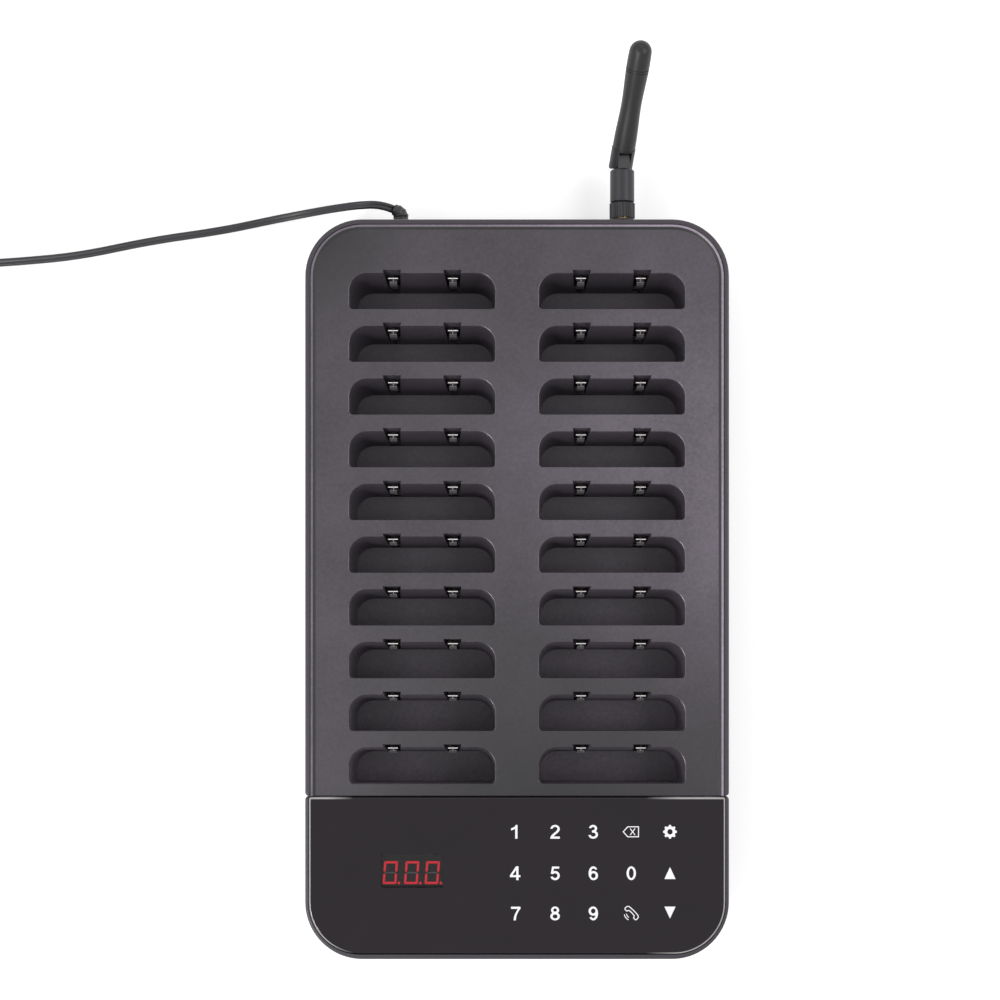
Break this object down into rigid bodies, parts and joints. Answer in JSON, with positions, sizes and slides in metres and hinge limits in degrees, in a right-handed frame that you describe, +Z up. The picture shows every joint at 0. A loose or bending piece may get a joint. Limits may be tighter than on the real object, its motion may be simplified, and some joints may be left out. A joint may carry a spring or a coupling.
{
  "type": "guest pager base",
  "caption": "Charging base for guest pagers: a flat case with two columns of leaning slots, a touch keypad with a number display, a tilting whip antenna and a mains adapter on a lead.",
  "frame": {"origin": "on the standing surface, under the middle of the case", "axes": "+Z up, +Y to the rear, where the antenna and the power socket are, +X to the user's right"},
  "size_m": [0.3695, 0.3686, 0.0481],
  "materials": {
    "shell_plastic": "fine grain, charcoal",
    "deck_plastic": "fine grain, charcoal",
    "panel_plastic": "glossy black",
    "black_plastic": "satin black",
    "display_face": "smoked",
    "lit_segments": "lit red",
    "board_green": "solder mask over glass fibre",
    "chips": "moulded",
    "shield_metal": "tinned can",
    "foam_pads": "conductive foam",
    "contact_metal": "plated spring leaf",
    "screw_steel": "zinc plated",
    "rubber": "matt",
    "jack_metal": "gold plated",
    "nut_metal": "nickel plated",
    "antenna_plastic": "satin black",
    "cord_sheath": "soft black vinyl",
    "wire_sheath": "coloured vinyl",
    "blade_metal": "nickel plated brass"
  },
  "bodies": {
    "base": {"bottom_case": "shell_plastic", "rear_housing": "shell_plastic", "keypad_housing": "shell_plastic", "keypad_panel": "panel_plastic", "charging_deck": "deck_plastic", "display_module": "display_face", "display_segments": "lit_segments", "main_board": "board_green", "touch_board": "board_green", "charging_board_left": "board_green", "charging_board_right": "board_green", "main_board_parts": "chips", "radio_module": "shield_metal", "buzzer": "chips", "key_pads": "foam_pads", "solder_feet": "contact_metal", "case_screws": "screw_steel", "board_screws": "screw_steel", "rubber_feet": "rubber", "antenna_jack": "jack_metal", "antenna_nut": "nut_metal", "antenna_collar": "antenna_plastic", "power_inlet": "black_plastic", "inlet_nut": "black_plastic", "lead_plug": "cord_sheath", "lead_cord": "cord_sheath", "lead_coil": "cord_sheath", "lead_tail": "cord_sheath", "lead_tie": "black_plastic", "adapter_case": "black_plastic", "adapter_cover": "black_plastic", "adapter_blades": "blade_metal", "adapter_board": "board_green", "adapter_relief": "cord_sheath", "coax_cable": "cord_sheath", "inner_wires": "wire_sheath", "ribbon_cable": "wire_sheath"},
    "antenna_barrel": {"antenna_barrel": "antenna_plastic", "antenna_pin": "screw_steel"},
    "antenna_whip": {"antenna_whip": "antenna_plastic"},
    "contacts_left_01": {"contacts_left_01": "contact_metal"},
    "contacts_left_02": {"contacts_left_02": "contact_metal"},
    "contacts_left_03": {"contacts_left_03": "contact_metal"},
    "contacts_left_04": {"contacts_left_04": "contact_metal"},
    "contacts_left_05": {"contacts_left_05": "contact_metal"},
    "contacts_left_06": {"contacts_left_06": "contact_metal"},
    "contacts_left_07": {"contacts_left_07": "contact_metal"},
    "contacts_left_08": {"contacts_left_08": "contact_metal"},
    "contacts_left_09": {"contacts_left_09": "contact_metal"},
    "contacts_left_10": {"contacts_left_10": "contact_metal"},
    "contacts_right_01": {"contacts_right_01": "contact_metal"},
    "contacts_right_02": {"contacts_right_02": "contact_metal"},
    "contacts_right_03": {"contacts_right_03": "contact_metal"},
    "contacts_right_04": {"contacts_right_04": "contact_metal"},
    "contacts_right_05": {"contacts_right_05": "contact_metal"},
    "contacts_right_06": {"contacts_right_06": "contact_metal"},
    "contacts_right_07": {"contacts_right_07": "contact_metal"},
    "contacts_right_08": {"contacts_right_08": "contact_metal"},
    "contacts_right_09": {"contacts_right_09": "contact_metal"},
    "contacts_right_10": {"contacts_right_10": "contact_metal"}
  },
  "joints": [
    {"name": "antenna_swivel", "type": "hinge", "parent": "base", "child": "antenna_barrel", "pos_m": [0.0437, 0.15865, 0.018], "axis": [0, 1, 0], "range_deg": [-102, 78]},
    {"name": "antenna_tilt", "type": "hinge", "parent": "antenna_barrel", "child": "antenna_whip", "pos_m": [0.0437, 0.178, 0.018], "axis": [0.9781, 0, -0.2079], "range_deg": [-35.4, 54.6]},
    {"name": "contacts_left_01_flex", "type": "hinge", "parent": "base", "child": "contacts_left_01", "pos_m": [-0.0383, 0.12385, 0.00795], "axis": [-1, 0, 0], "range_deg": [0, 3], "stiffness_Nm_per_rad": 0.005},
    {"name": "contacts_left_02_flex", "type": "hinge", "parent": "base", "child": "contacts_left_02", "pos_m": [-0.0383, 0.10258, 0.00795], "axis": [-1, 0, 0], "range_deg": [0, 3], "stiffness_Nm_per_rad": 0.005},
    {"name": "contacts_left_03_flex", "type": "hinge", "parent": "base", "child": "contacts_left_03", "pos_m": [-0.0383, 0.08131, 0.00795], "axis": [-1, 0, 0], "range_deg": [0, 3], "stiffness_Nm_per_rad": 0.005},
    {"name": "contacts_left_04_flex", "type": "hinge", "parent": "base", "child": "contacts_left_04", "pos_m": [-0.0383, 0.06004, 0.00795], "axis": [-1, 0, 0], "range_deg": [0, 3], "stiffness_Nm_per_rad": 0.005},
    {"name": "contacts_left_05_flex", "type": "hinge", "parent": "base", "child": "contacts_left_05", "pos_m": [-0.0383, 0.03877, 0.00795], "axis": [-1, 0, 0], "range_deg": [0, 3], "stiffness_Nm_per_rad": 0.005},
    {"name": "contacts_left_06_flex", "type": "hinge", "parent": "base", "child": "contacts_left_06", "pos_m": [-0.0383, 0.0175, 0.00795], "axis": [-1, 0, 0], "range_deg": [0, 3], "stiffness_Nm_per_rad": 0.005},
    {"name": "contacts_left_07_flex", "type": "hinge", "parent": "base", "child": "contacts_left_07", "pos_m": [-0.0383, -0.00377, 0.00795], "axis": [-1, 0, 0], "range_deg": [0, 3], "stiffness_Nm_per_rad": 0.005},
    {"name": "contacts_left_08_flex", "type": "hinge", "parent": "base", "child": "contacts_left_08", "pos_m": [-0.0383, -0.02504, 0.00795], "axis": [-1, 0, 0], "range_deg": [0, 3], "stiffness_Nm_per_rad": 0.005},
    {"name": "contacts_left_09_flex", "type": "hinge", "parent": "base", "child": "contacts_left_09", "pos_m": [-0.0383, -0.04631, 0.00795], "axis": [-1, 0, 0], "range_deg": [0, 3], "stiffness_Nm_per_rad": 0.005},
    {"name": "contacts_left_10_flex", "type": "hinge", "parent": "base", "child": "contacts_left_10", "pos_m": [-0.0383, -0.06758, 0.00795], "axis": [-1, 0, 0], "range_deg": [0, 3], "stiffness_Nm_per_rad": 0.005},
    {"name": "contacts_right_01_flex", "type": "hinge", "parent": "base", "child": "contacts_right_01", "pos_m": [0.0383, 0.12385, 0.00795], "axis": [-1, 0, 0], "range_deg": [0, 3], "stiffness_Nm_per_rad": 0.005},
    {"name": "contacts_right_02_flex", "type": "hinge", "parent": "base", "child": "contacts_right_02", "pos_m": [0.0383, 0.10258, 0.00795], "axis": [-1, 0, 0], "range_deg": [0, 3], "stiffness_Nm_per_rad": 0.005},
    {"name": "contacts_right_03_flex", "type": "hinge", "parent": "base", "child": "contacts_right_03", "pos_m": [0.0383, 0.08131, 0.00795], "axis": [-1, 0, 0], "range_deg": [0, 3], "stiffness_Nm_per_rad": 0.005},
    {"name": "contacts_right_04_flex", "type": "hinge", "parent": "base", "child": "contacts_right_04", "pos_m": [0.0383, 0.06004, 0.00795], "axis": [-1, 0, 0], "range_deg": [0, 3], "stiffness_Nm_per_rad": 0.005},
    {"name": "contacts_right_05_flex", "type": "hinge", "parent": "base", "child": "contacts_right_05", "pos_m": [0.0383, 0.03877, 0.00795], "axis": [-1, 0, 0], "range_deg": [0, 3], "stiffness_Nm_per_rad": 0.005},
    {"name": "contacts_right_06_flex", "type": "hinge", "parent": "base", "child": "contacts_right_06", "pos_m": [0.0383, 0.0175, 0.00795], "axis": [-1, 0, 0], "range_deg": [0, 3], "stiffness_Nm_per_rad": 0.005},
    {"name": "contacts_right_07_flex", "type": "hinge", "parent": "base", "child": "contacts_right_07", "pos_m": [0.0383, -0.00377, 0.00795], "axis": [-1, 0, 0], "range_deg": [0, 3], "stiffness_Nm_per_rad": 0.005},
    {"name": "contacts_right_08_flex", "type": "hinge", "parent": "base", "child": "contacts_right_08", "pos_m": [0.0383, -0.02504, 0.00795], "axis": [-1, 0, 0], "range_deg": [0, 3], "stiffness_Nm_per_rad": 0.005},
    {"name": "contacts_right_09_flex", "type": "hinge", "parent": "base", "child": "contacts_right_09", "pos_m": [0.0383, -0.04631, 0.00795], "axis": [-1, 0, 0], "range_deg": [0, 3], "stiffness_Nm_per_rad": 0.005},
    {"name": "contacts_right_10_flex", "type": "hinge", "parent": "base", "child": "contacts_right_10", "pos_m": [0.0383, -0.06758, 0.00795], "axis": [-1, 0, 0], "range_deg": [0, 3], "stiffness_Nm_per_rad": 0.005}
  ]
}
